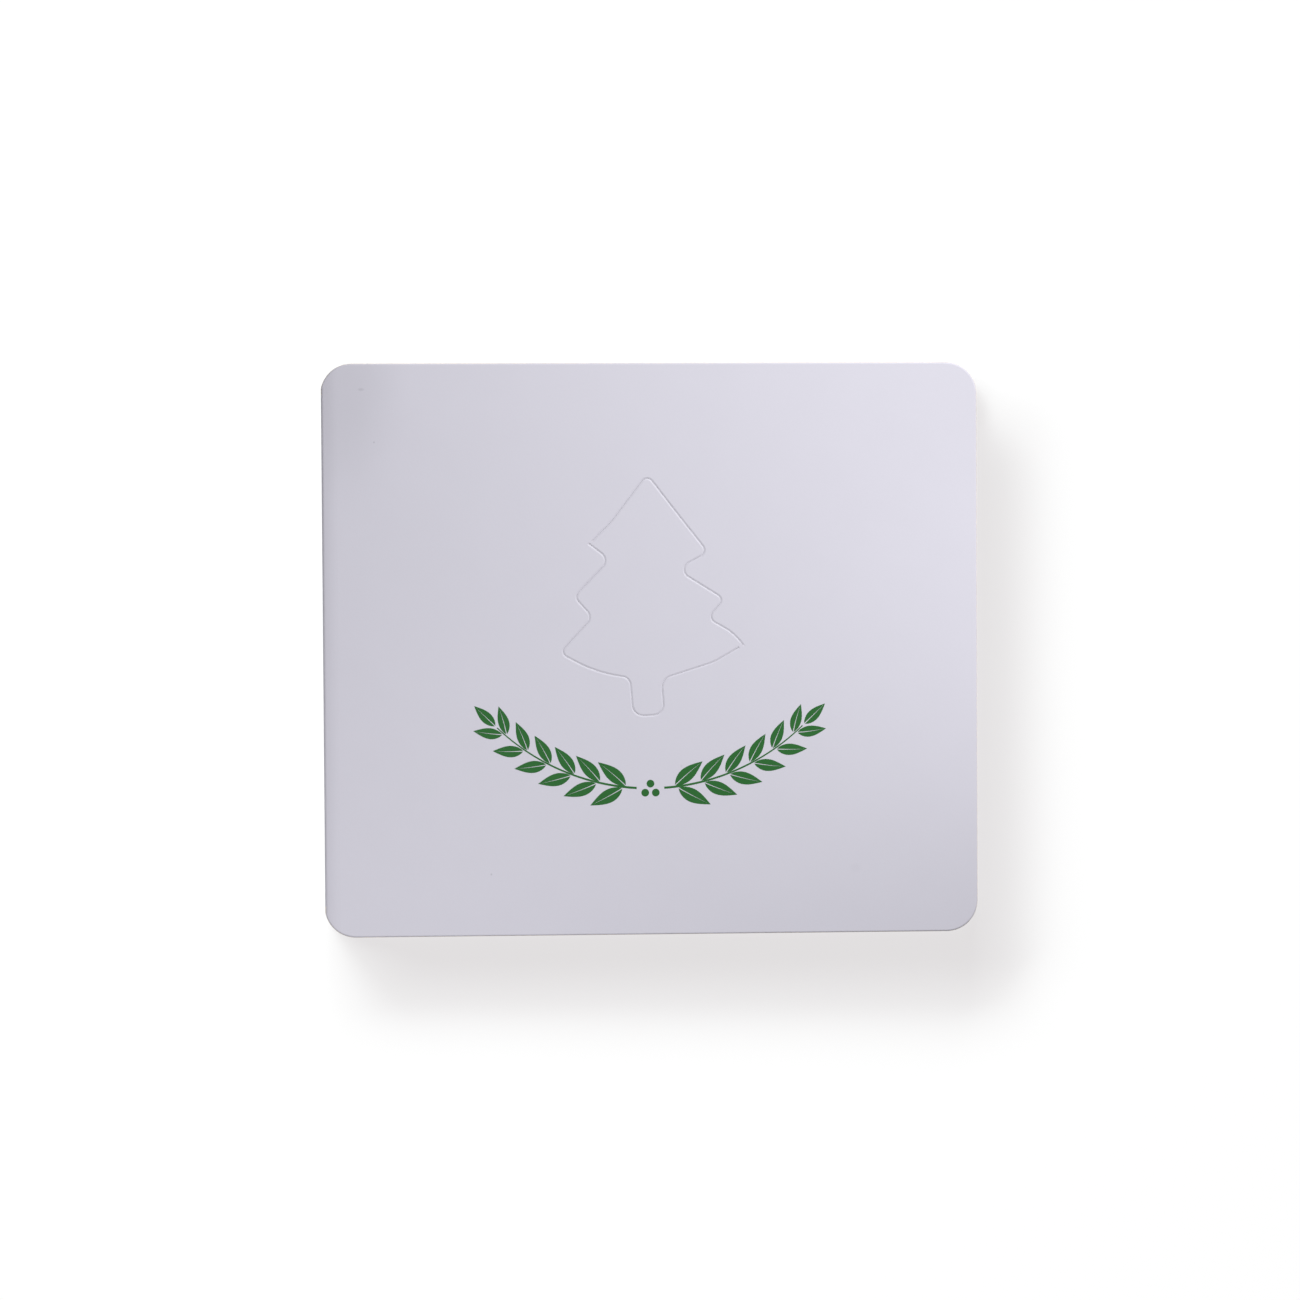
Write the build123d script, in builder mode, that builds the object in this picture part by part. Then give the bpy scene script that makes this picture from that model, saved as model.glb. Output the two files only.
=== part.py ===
from build123d import *
import math
import os

# A small greeting card: one sheet of coated card, folded at its left side.
# It lies on its back leaf, with the front leaf sprung a little off it.
# X runs from the fold to the free edge, Y up the page, Z up.

os.makedirs("parts", exist_ok=True)

# the folded card
card_width = 105.0
card_height = 91.7
stock = 0.4  # thickness of the sheet
corner_radius = 5.0
fold_radius = 0.55  # outside of the fold
fold_proud = 0.1  # the corner die stops this far outside the fold
crease_bead = 0.12  # radius of the ridge that scoring leaves inside the fold
spring_angle = 12.0  # the front leaf rises from the fold at this angle
curl_radius = 10.0  # and curls over
open_angle = 0.1  # to lie almost level
edge_round = 0.3  # the die cuts from the outside, and rolls those edges over

# the cut line of the tree
cut_width = 0.02  # a hairline, right through the leaf
shoulder_width = 0.24  # pressed down on each side of the line
shoulder_depth = 0.085
nick = 0.5  # uncut bridge that holds the tree in the leaf
nick_inset = 0.45  # from the tip of the branch
right_tip = (14.7, 0.6)  # the two sharp tips, where the cutting rules meet
left_tip = (-9.9, 16.9)

# corner points of the tree and their radii, measured from the middle of the
# front, clockwise from the top
tree_corners = [
    (-0.6, 28.0, 1.0),
    (4.0, 22.0, 30.0),
    (9.1, 15.5, 1.1),
    (4.0, 12.8, 1.3),
    (11.7, 8.0, 1.0),
    (9.0, 4.9, 1.1),
    (13.3, 2.5, 9.0),
    (*right_tip, 0.0),
    (10.0, -2.1, 9.0),
    (1.5, -4.8, 2.1),
    (2.0, -10.5, 1.7),
    (-3.0, -10.7, 1.8),
    (-3.5, -4.5, 1.5),
    (-8.9, -3.7, 22.0),
    (-14.7, -0.5, 0.9),
    (-9.4, 5.2, 1.4),
    (-12.4, 8.5, 1.2),
    (-6.6, 14.4, 1.5),
    (*left_tip, 0.0),
    (-6.5, 20.3, 10.0),
]
tree_points = [(x, y) for x, y, r in tree_corners]
tree_radii = [r for x, y, r in tree_corners]

# places that follow from the sizes
half_width = card_width / 2
half_height = card_height / 2
fold_x = fold_radius - half_width
inner_radius = fold_radius - stock
past_edge = 1.5 * card_width  # the leaves are drawn long, then trimmed
cut_half = cut_width / 2
groove_half = cut_half + shoulder_width

# outside of the sheet, seen along the fold: back leaf, bend, curl and front leaf
with BuildLine() as outside:
    under = Line((past_edge, 0), (fold_x, 0))
    bend = JernArc(under @ 1, under % 1, fold_radius, spring_angle - 180)
    curl = JernArc(bend @ 1, bend % 1, curl_radius, open_angle - spring_angle)
    leaf = Line(curl @ 1, curl @ 1 + (curl % 1) * 2 * past_edge)

# the face of the front leaf, with its origin above the middle of the card
leaf_start, leaf_dir = leaf @ 0, leaf % 0
cover_z = leaf_start.Y - leaf_start.X * leaf_dir.Y / leaf_dir.X
cover = Plane(
    origin=(0, 0, cover_z),
    x_dir=(leaf_dir.X, 0, leaf_dir.Y),
    z_dir=(-leaf_dir.Y, 0, leaf_dir.X),
)


def nick_place(tip):
    # middle and direction of a bridge, beside a tip on its way to the next corner
    next_corner = tree_points[tree_points.index(tip) + 1]
    run = (Vector(next_corner) - Vector(tip)).normalized()
    middle = Vector(tip) + run * nick_inset
    return Location(middle, (0, 0, math.degrees(math.atan2(run.Y, run.X))))


def turns_outside(face):
    # the outer faces of the bend and the curl, but not the rounded corners
    return face.axis_of_rotation.is_parallel(Axis.Y) and (
        math.isclose(face.radius, fold_radius) or math.isclose(face.radius, curl_radius)
    )


# the cut line as a solid: the section of the rule, swept round the tree, less the bridges
with BuildPart() as cut_line:
    with BuildLine(cover) as tree:
        FilletPolyline(*tree_points, radius=tree_radii, close=True)
    start = tree.line @ 0
    along = tree.line % 0
    with BuildSketch(Plane(start, x_dir=cover.z_dir.cross(along), z_dir=along)):
        Polygon(
            (-groove_half, stock),
            (groove_half, stock),
            (groove_half, 0),
            (cut_half, -shoulder_depth),
            (cut_half, -stock - inner_radius),
            (-cut_half, -stock - inner_radius),
            (-cut_half, -shoulder_depth),
            (-groove_half, 0),
            align=None,
        )
    sweep(transition=Transition.RIGHT)

    with BuildSketch(cover):
        with Locations(nick_place(right_tip), nick_place(left_tip)):
            Rectangle(nick, 4 * groove_half)
    extrude(amount=2 * stock, both=True, mode=Mode.SUBTRACT)

with BuildPart() as folded_card:
    # the bent sheet
    with BuildSketch(Plane.XZ):
        with BuildLine():
            add(outside.line)
            offset(amount=stock, side=Side.LEFT)
        make_face()
        with Locations((stock - half_width, fold_radius)):
            Circle(crease_bead)
    extrude(amount=half_height, both=True)

    # outline of the closed card, with all four corners rounded
    with BuildSketch():
        with Locations((-fold_proud / 2, 0)):
            RectangleRounded(card_width + fold_proud, card_height, corner_radius)
    extrude(amount=card_width, mode=Mode.INTERSECT)

    # rolled edges, all round the outside of the sheet but not along the fold
    front = folded_card.faces().sort_by(Axis(cover.origin, cover.z_dir))[-1]
    back = folded_card.faces().sort_by(Axis.Z)[0]
    turned = folded_card.faces().filter_by(GeomType.CYLINDER).filter_by(turns_outside)
    rim = turned.edges().filter_by(Axis.Y, reverse=True)
    rim += front.edges().sort_by(Axis.X)[1:] + back.edges().sort_by(Axis.X)[1:]
    fillet(rim, radius=edge_round)

    # the tree is cut through the front leaf only
    add(cut_line.part, mode=Mode.SUBTRACT)

folded_card.part.label = "folded_card"
export_step(folded_card.part, "parts/folded_card.step")
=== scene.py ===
import math

import bmesh
import bpy
from mathutils import Euler, Matrix, Vector


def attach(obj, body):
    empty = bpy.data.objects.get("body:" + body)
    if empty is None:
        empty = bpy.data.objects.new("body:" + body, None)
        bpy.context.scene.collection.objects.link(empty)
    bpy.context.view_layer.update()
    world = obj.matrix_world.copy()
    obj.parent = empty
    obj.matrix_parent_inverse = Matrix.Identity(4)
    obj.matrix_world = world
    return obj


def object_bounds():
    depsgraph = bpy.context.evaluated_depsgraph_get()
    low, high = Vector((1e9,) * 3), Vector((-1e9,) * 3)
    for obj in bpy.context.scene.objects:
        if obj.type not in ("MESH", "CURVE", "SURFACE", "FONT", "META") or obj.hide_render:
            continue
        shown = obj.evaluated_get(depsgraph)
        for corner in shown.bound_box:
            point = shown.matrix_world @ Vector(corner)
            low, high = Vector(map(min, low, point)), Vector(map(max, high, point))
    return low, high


# A small folded greeting card with a die-cut tree, lying on a white sweep.
# X runs from the fold to the free edge, Y up the page, Z up. All in metres.

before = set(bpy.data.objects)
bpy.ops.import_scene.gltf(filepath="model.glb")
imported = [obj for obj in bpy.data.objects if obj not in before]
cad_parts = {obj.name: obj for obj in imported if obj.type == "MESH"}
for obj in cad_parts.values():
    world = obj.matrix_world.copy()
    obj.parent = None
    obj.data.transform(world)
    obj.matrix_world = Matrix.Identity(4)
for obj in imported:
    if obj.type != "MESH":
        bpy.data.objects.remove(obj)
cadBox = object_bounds()
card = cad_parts["folded_card"]
mm = 0.001
print("frame loaded")


# helpers

def hexColour(code):
    # sRGB hex to a linear colour
    channels = [int(code[i:i + 2], 16) / 255 for i in (1, 3, 5)]
    linear = [c / 12.92 if c <= 0.04045 else ((c + 0.055) / 1.055) ** 2.4 for c in channels]
    return (*linear, 1.0)


def newMaterial(name):
    material = bpy.data.materials.new(name)
    material.use_nodes = True
    material.node_tree.nodes.clear()
    return material


def addNode(tree, kind, settings=None, links=None):
    # settings are properties or socket values, links are sockets of other nodes
    node = tree.nodes.new("ShaderNode" + kind)
    for name, value in (settings or {}).items():
        if isinstance(name, str) and hasattr(node, name):
            setattr(node, name, value)
        else:
            node.inputs[name].default_value = value
    for name, socket in (links or {}).items():
        tree.links.new(socket, node.inputs[name])
    return node


def frontLeaf():
    # plane of the front, from two points found on it, with its origin above the middle
    bpy.context.view_layer.update()
    down = Vector((0, 0, -1))
    across, along, above = 0.6 * cadBox[1][0], 0.8 * cadBox[0][1], 0.1
    left, right = [
        card.ray_cast(Vector((side * across, along, above)), down)[1] for side in (-1, 1)
    ]
    slope = (right.z - left.z) / (right.x - left.x)
    tilt = Matrix.Rotation(-math.atan(slope), 4, "Y")
    return Matrix.Translation((0, 0, left.z - slope * left.x)) @ tilt


frontPlace = frontLeaf()


# the card

paper = {
    "colour": "#D2D0DB",  # cool white of the clay coat
    "coreColour": "#E8DDD4",  # raw board where a knife went through
    "roughness": 0.6,
    "coreRoughness": 0.9,
    "ior": 1.46,
    "mottle": 6.0,  # mm, cloudiness of the board seen through the coat
    "fibre": 0.35,  # mm, real fibres are finer, drawn as coarse as they can show
    "unevenness": 0.012,  # of the tone, either way, for each of those two
    "grainHeight": 0.004,  # mm
    "cutFacing": (0.45, 0.85),  # height of a unit normal, from raw core to coat
    "chipping": 0.8,  # how unevenly the coat ends there
    "slopeFacing": (0.95, 0.975),  # and from a pressed slope to a flat face
    "slopeShade": 0.98,  # painted shade: tone of the coat on the slopes that a rule pressed, and on edges that a die rolled over
    "foldWidth": 1.1,  # mm, no raw edge this near the fold
    "cornerRadius": 5.0,  # mm
    # marks of handling, and last a patch of painted shade: place on the front, width and height
    # in mm, share of light lost
    "marksAndPaintedShade": [
        (-46.1, 41.7, 1.3, 0.6, 0.13),
        (-44.1, 33.3, 0.4, 0.4, 0.2),
        (-25.9, -35.9, 0.4, 0.45, 0.2),
        (32.7, -35.4, 2.4, 1.8, 0.03),
        (4.7, -18.8, 0.5, 0.8, 0.08),
        (-50.5, 42.0, 24.0, 40.0, 0.09),  # painted shade, darkening the top-left corner
    ],
    "markDepth": 2 / 3,  # mm, so that a mark stays on the front
    "markFade": (0.2, 1.1),  # full inside the first share of its size, gone at the second
}


def coatedCard():
    # coated board, calendered: a smooth cool white with a soft broad sheen, faintly
    # cloudy, with a few specks, painted shade on one corner and on the pressed slopes, and matt
    # and a little warmer where it is cut
    material = newMaterial("coatedCard")
    tree = material.node_tree
    place = addNode(tree, "TexCoord")
    spot = place.outputs["Object"]
    cloud, fibre = [
        addNode(
            tree,
            "TexNoise",
            {"Scale": 1 / (paper[name] * mm), "Detail": detail},
            {"Vector": spot},
        )
        for name, detail in (("mottle", 2.0), ("fibre", 3.0))
    ]

    # all that lightens or darkens the coat, painted shade among it, multiplied together further
    # down
    swing = {"To Min": 1 - paper["unevenness"], "To Max": 1 + paper["unevenness"]}
    shades = [
        addNode(tree, "MapRange", swing, {"Value": noise.outputs["Fac"]})
        for noise in (cloud, fibre)
    ]
    # small marks of handling, and the painted shade on one corner
    for x, y, width, height, lost in paper["marksAndPaintedShade"]:
        centre = frontPlace @ Vector((x * mm, y * mm, 0))
        stretch = [2 / (size * mm) for size in (width, height, paper["markDepth"])]
        away = addNode(tree, "VectorMath", {"operation": "SUBTRACT", 1: centre}, {0: spot})
        scaled = addNode(
            tree,
            "VectorMath",
            {"operation": "MULTIPLY", 1: stretch},
            {0: away.outputs[0]},
        )
        far = addNode(tree, "VectorMath", {"operation": "LENGTH"}, {0: scaled.outputs[0]})
        fade = {
            "interpolation_type": "SMOOTHSTEP",
            "From Min": paper["markFade"][0],
            "From Max": paper["markFade"][1],
            "To Min": 1 - lost,
        }
        shades.append(addNode(tree, "MapRange", fade, {"Value": far.outputs["Value"]}))

    # raw core on the cut faces, but not round the fold
    facing = addNode(tree, "SeparateXYZ", links={0: place.outputs["Normal"]})
    upright = addNode(tree, "Math", {"operation": "ABSOLUTE"}, {0: facing.outputs["Z"]})
    chips = addNode(
        tree,
        "MapRange",
        {"To Min": -paper["chipping"] / 2, "To Max": paper["chipping"] / 2},
        {"Value": fibre.outputs["Fac"]},
    )
    chipped = addNode(
        tree,
        "Math",
        {"operation": "ADD"},
        {0: upright.outputs[0], 1: chips.outputs[0]},
    )
    coated = addNode(
        tree,
        "MapRange",
        {
            "interpolation_type": "SMOOTHSTEP",
            "From Min": paper["cutFacing"][0],
            "From Max": paper["cutFacing"][1],
        },
        {"Value": chipped.outputs[0]},
    )
    where = addNode(tree, "SeparateXYZ", links={0: spot})
    foldEnd = cadBox[0][0] + paper["foldWidth"] * mm
    straightEnd = cadBox[1][1] - paper["cornerRadius"] * mm
    fromMiddle = addNode(tree, "Math", {"operation": "ABSOLUTE"}, {0: where.outputs["Y"]})
    leftOf, between = [
        addNode(tree, "Math", {"operation": "LESS_THAN", 1: limit}, {0: measure})
        for measure, limit in (
            (where.outputs["X"], foldEnd),
            (fromMiddle.outputs[0], straightEnd),
        )
    ]
    onFold = addNode(
        tree,
        "Math",
        {"operation": "MULTIPLY"},
        {0: leftOf.outputs[0], 1: between.outputs[0]},
    )
    coat = addNode(
        tree,
        "Math",
        {"operation": "MAXIMUM"},
        {0: coated.outputs[0], 1: onFold.outputs[0]},
    )
    # painted shade: the coat darker where its face tilts, on the slopes of the cut line and the
    # rolled edges
    slopeShading = {
        "interpolation_type": "SMOOTHSTEP",
        "From Min": paper["slopeFacing"][0],
        "From Max": paper["slopeFacing"][1],
        "To Min": paper["slopeShade"],
    }
    shades.append(addNode(tree, "MapRange", slopeShading, {"Value": upright.outputs[0]}))

    tone = shades[0]
    for shade in shades[1:]:
        tone = addNode(
            tree,
            "Math",
            {"operation": "MULTIPLY"},
            {0: tone.outputs[0], 1: shade.outputs[0]},
        )
    stuff = addNode(
        tree,
        "Mix",
        {"data_type": "RGBA", 6: hexColour(paper["coreColour"]), 7: hexColour(paper["colour"])},
        {0: coat.outputs[0]},
    )
    toned = addNode(
        tree,
        "VectorMath",
        {"operation": "SCALE"},
        {0: stuff.outputs[2], "Scale": tone.outputs[0]},
    )
    shine = addNode(
        tree,
        "MapRange",
        {"To Min": paper["coreRoughness"], "To Max": paper["roughness"]},
        {"Value": coat.outputs[0]},
    )
    grain = addNode(
        tree,
        "Bump",
        {"Strength": 1.0, "Distance": paper["grainHeight"] * mm},
        {"Height": fibre.outputs["Fac"]},
    )
    shader = addNode(
        tree,
        "BsdfPrincipled",
        {"IOR": paper["ior"]},
        {
            "Base Color": toned.outputs[0],
            "Roughness": shine.outputs[0],
            "Normal": grain.outputs[0],
        },
    )
    addNode(tree, "OutputMaterial", links={"Surface": shader.outputs[0]})
    return material


card.data.materials.clear()
card.data.materials.append(coatedCard())
print("card done")


# the printed garland under the tree

garland = {
    "centre": (-0.3, 13.0),  # mm, of the arc that its two sprigs follow
    "radius": 35.3,
    "stemStart": 3.6,  # degrees round from the bottom
    "stemEnd": 44.0,
    "stemWidth": (0.36, 0.18),  # at its start and end
    "pairs": 6,
    "firstPair": 6.0,
    "lastPair": 40.5,
    "leafLength": 5.8,
    "leafWidth": 2.1,
    "fullness": 0.8,  # under 1 a leaf is widest nearer its base
    "lastLeaf": 0.8,  # size at the end of a sprig, against the first
    "spread": 38,  # degrees between leaf and stem
    "stagger": 0.8,  # degrees that an outer leaf starts later, so a pair is not quite level
    "stalk": 0.42,  # from the middle of the stem to a leaf
    "droop": 0.35,  # a leaf's tip bends back by this much
    "vein": 0.14,  # left unprinted down the middle of a leaf
    "berry": 0.62,  # radius
    "berrySides": 24,
    "berries": [(0.0, 0.75), (-0.85, -0.7), (0.85, -0.7)],
    "ink": "#206426",
    "inkRoughness": 0.5,
    "inkMottle": 0.4,
    "inkUnevenness": 0.12,  # of the tone, either way
    "inkHeight": 0.016,  # above the paper
    "inkSunk": 0.004,  # and below it, so that no gap shows
    "steps": 12,  # along a leaf, twice as many along a stem
}


def leafHalf(length, width, side, droop):
    # from the base along the outer edge to the tip, and back beside the vein
    steps = [i / garland["steps"] for i in range(garland["steps"] + 1)]
    middle = [(length * t, droop * t ** 2) for t in steps]
    vein = [garland["vein"] / 2 * (1 - t) for t in steps]
    edge = [width / 2 * math.sin(math.pi * t ** garland["fullness"]) for t in steps]
    outer = [(u, v + side * (gap + w)) for (u, v), gap, w in zip(middle, vein, edge)]
    inner = [(u, v + side * gap) for (u, v), gap in zip(middle, vein)]
    return outer + inner[-2:0:-1]


def onStem(points, turn, lean):
    # points beside a leaf's axis, put on the arc at a turn from its bottom
    around = math.radians(turn - 90)
    heading = around + math.pi / 2 + math.radians(lean)
    x = garland["radius"] * math.cos(around) + garland["stalk"] * math.cos(heading)
    y = garland["radius"] * math.sin(around) + garland["stalk"] * math.sin(heading)
    return [
        (
            x + u * math.cos(heading) - v * math.sin(heading),
            y + u * math.sin(heading) + v * math.cos(heading),
        )
        for u, v in points
    ]


def leaf(turn, lean, size, droop):
    # the two printed halves of a leaf, with its bare vein between them
    length, width = garland["leafLength"] * size, garland["leafWidth"] * size
    return [onStem(leafHalf(length, width, side, droop), turn, lean) for side in (1, -1)]


def stem():
    # a ribbon along the arc that narrows towards its tip
    thick, thin = garland["stemWidth"]
    sweep = garland["stemEnd"] - garland["stemStart"]
    edges = []
    for side in (1, -1):
        edge = []
        for i in range(2 * garland["steps"] + 1):
            share = i / (2 * garland["steps"])
            around = math.radians(garland["stemStart"] + sweep * share - 90)
            r = garland["radius"] + side * (thick + (thin - thick) * share) / 2
            edge.append((r * math.cos(around), r * math.sin(around)))
        edges.append(edge)
    return edges[0] + edges[1][::-1]


def sprig():
    # outlines of the right-hand sprig, about the centre of its arc
    outlines = [stem()]
    first, last = garland["firstPair"], garland["lastPair"]
    spread, droop = garland["spread"], garland["droop"]
    for i in range(garland["pairs"]):
        share = i / (garland["pairs"] - 1)
        turn = first + (last - first) * share
        size = 1 + (garland["lastLeaf"] - 1) * share
        outlines += leaf(turn, spread, size, -droop)
        outlines += leaf(turn + garland["stagger"], -spread, size, droop)
    return outlines + leaf(garland["stemEnd"], 0, garland["lastLeaf"], 0)


def printedInk():
    # offset ink on coated board: a flat leaf green, a little glossier than the
    # board, and faintly mottled where it lies thin
    material = newMaterial("printedInk")
    tree = material.node_tree
    spot = addNode(tree, "TexCoord").outputs["Object"]
    mottle = {"Scale": 1 / (garland["inkMottle"] * mm), "Detail": 4.0}
    thin = addNode(tree, "TexNoise", mottle, {"Vector": spot})
    swing = {"To Min": 1 - garland["inkUnevenness"], "To Max": 1 + garland["inkUnevenness"]}
    tone = addNode(tree, "MapRange", swing, {"Value": thin.outputs["Fac"]})
    ink = addNode(
        tree,
        "VectorMath",
        {"operation": "SCALE", 0: hexColour(garland["ink"])[:3]},
        {"Scale": tone.outputs[0]},
    )
    shader = addNode(
        tree,
        "BsdfPrincipled",
        {"Roughness": garland["inkRoughness"], "IOR": paper["ior"]},
        {"Base Color": ink.outputs[0]},
    )
    addNode(tree, "OutputMaterial", links={"Surface": shader.outputs[0]})
    return material


def makeGarland():
    bm = bmesh.new()
    for outline in sprig():
        bm.faces.new([bm.verts.new((x * mm, y * mm, 0)) for x, y in outline])
    bmesh.ops.mirror(bm, geom=bm.verts[:] + bm.edges[:] + bm.faces[:], axis="X")
    for x, y in garland["berries"]:
        bmesh.ops.create_circle(
            bm,
            cap_ends=True,
            radius=garland["berry"] * mm,
            segments=garland["berrySides"],
            matrix=Matrix.Translation((x * mm, (y - garland["radius"]) * mm, 0)),
        )
    thickness = (garland["inkHeight"] + garland["inkSunk"]) * mm
    grown = bmesh.ops.extrude_face_region(bm, geom=bm.faces[:])["geom"]
    top = [v for v in grown if isinstance(v, bmesh.types.BMVert)]
    bmesh.ops.translate(bm, verts=top, vec=(0, 0, thickness))
    bmesh.ops.recalc_face_normals(bm, faces=bm.faces[:])
    mesh = bpy.data.meshes.new("printedGarland")
    bm.to_mesh(mesh)
    bm.free()
    x, y = [place * mm for place in garland["centre"]]
    mesh.transform(frontPlace @ Matrix.Translation((x, y, -garland["inkSunk"] * mm)))
    mesh.materials.append(printedInk())
    piece = bpy.data.objects.new("printedGarland", mesh)
    bpy.context.scene.collection.objects.link(piece)
    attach(piece, "root")
    return piece


makeGarland()
print("garland done")


# the floor

floorLook = {
    "size": 4.0,
    "ownLight": 0.731,  # what a shadow leaves of the white
    "shadowTint": (1.0, 0.973, 0.98, 1),  # a shadow is very slightly warm
    "answer": (0.24, 0.258, 0.253, 1),  # share of the strips' light added, for a neutral sum
}


def whiteSweep():
    # plain white paper sweep, exposed just past white, so only the card's shadow shows
    material = newMaterial("whiteSweep")
    tree = material.node_tree
    glow = addNode(
        tree,
        "Emission",
        {"Color": floorLook["shadowTint"], "Strength": floorLook["ownLight"]},
    )
    matt = addNode(tree, "BsdfDiffuse", {"Color": floorLook["answer"]})
    seen = addNode(tree, "AddShader", links={0: glow.outputs[0], 1: matt.outputs[0]})
    addNode(tree, "OutputMaterial", links={"Surface": seen.outputs[0]})
    return material


def makeFloor():
    bm = bmesh.new()
    bmesh.ops.create_grid(bm, x_segments=1, y_segments=1, size=floorLook["size"] / 2)
    mesh = bpy.data.meshes.new("floor")
    bm.to_mesh(mesh)
    bm.free()
    mesh.materials.append(whiteSweep())
    floor = bpy.data.objects.new("floor", mesh)
    bpy.context.scene.collection.objects.link(floor)
    return floor


floor = makeFloor()
print("floor done")


# light

# near softboxes for the card
lamps = {
    "key": {"place": (0.152, 0.233, 0.278), "size": (0.10, 0.10), "watts": 1.55},
    "fill": {"place": (-0.063, -0.079, 0.109), "size": (0.06, 0.06), "watts": 0.052},
    "side": {"place": (0.051, 0.001, 0.035), "size": (0.06, 0.06), "watts": 0.0027},
}
# long low strips that light the floor alone, and draw its long soft shadow
strips = {
    "stripBehind": {"place": (-1.854, 5.706, 0.505), "size": (5.17, 0.283), "watts": 2587},
    "stripLeft": {"place": (-4.272, 4.213, 0.581), "size": (6.22, 0.357), "watts": 2407},
}
sky = {"light": 0.09, "seen": 1.0}  # dim on the card, white behind the floor


def linkTo(name, state):
    # a light-linking set that holds the floor, to light nothing else or all but it
    group = bpy.data.collections.new(name)
    group.objects.link(floor)
    group.collection_objects[0].light_linking.link_state = state
    return group


def addLamps(looks, receivers):
    for name, look in looks.items():
        soft = bpy.data.lights.new(name, "AREA")
        soft.shape = "RECTANGLE"
        soft.size, soft.size_y = look["size"]
        soft.energy = look["watts"]
        lamp = bpy.data.objects.new(name, soft)
        bpy.context.scene.collection.objects.link(lamp)
        lamp.location = look["place"]
        lamp.rotation_euler = (-Vector(look["place"])).to_track_quat("-Z", "Y").to_euler()
        lamp.visible_camera = False
        lamp.light_linking.receiver_collection = receivers


addLamps(lamps, linkTo("notFloor", "EXCLUDE"))
addLamps(strips, linkTo("onlyFloor", "INCLUDE"))

world = bpy.data.worlds.new("studio")
bpy.context.scene.world = world
world.use_nodes = True
world.node_tree.nodes.clear()
ray = addNode(world.node_tree, "LightPath")
dim, white = [
    addNode(world.node_tree, "Background", {"Color": (1, 1, 1, 1), "Strength": sky[name]})
    for name in ("light", "seen")
]
mix = addNode(
    world.node_tree,
    "MixShader",
    links={0: ray.outputs["Is Camera Ray"], 1: dim.outputs[0], 2: white.outputs[0]},
)
addNode(world.node_tree, "OutputWorld", links={"Surface": mix.outputs[0]})
print("light done")


# the camera

shot = {
    "lens": 85,
    "place": (-23.4, 14.6, 492.6),  # mm
    "turn": (-1.697, -2.707, -0.318),  # degrees
}
cameraData = bpy.data.cameras.new("camera")
cameraData.lens = shot["lens"]
cameraData.clip_start = 0.01
camera = bpy.data.objects.new("camera", cameraData)
bpy.context.scene.collection.objects.link(camera)
camera.location = Vector(shot["place"]) * mm
camera.rotation_euler = Euler([math.radians(a) for a in shot["turn"]])
bpy.context.scene.camera = camera
bpy.context.scene.view_settings.view_transform = "Standard"
print("camera done")
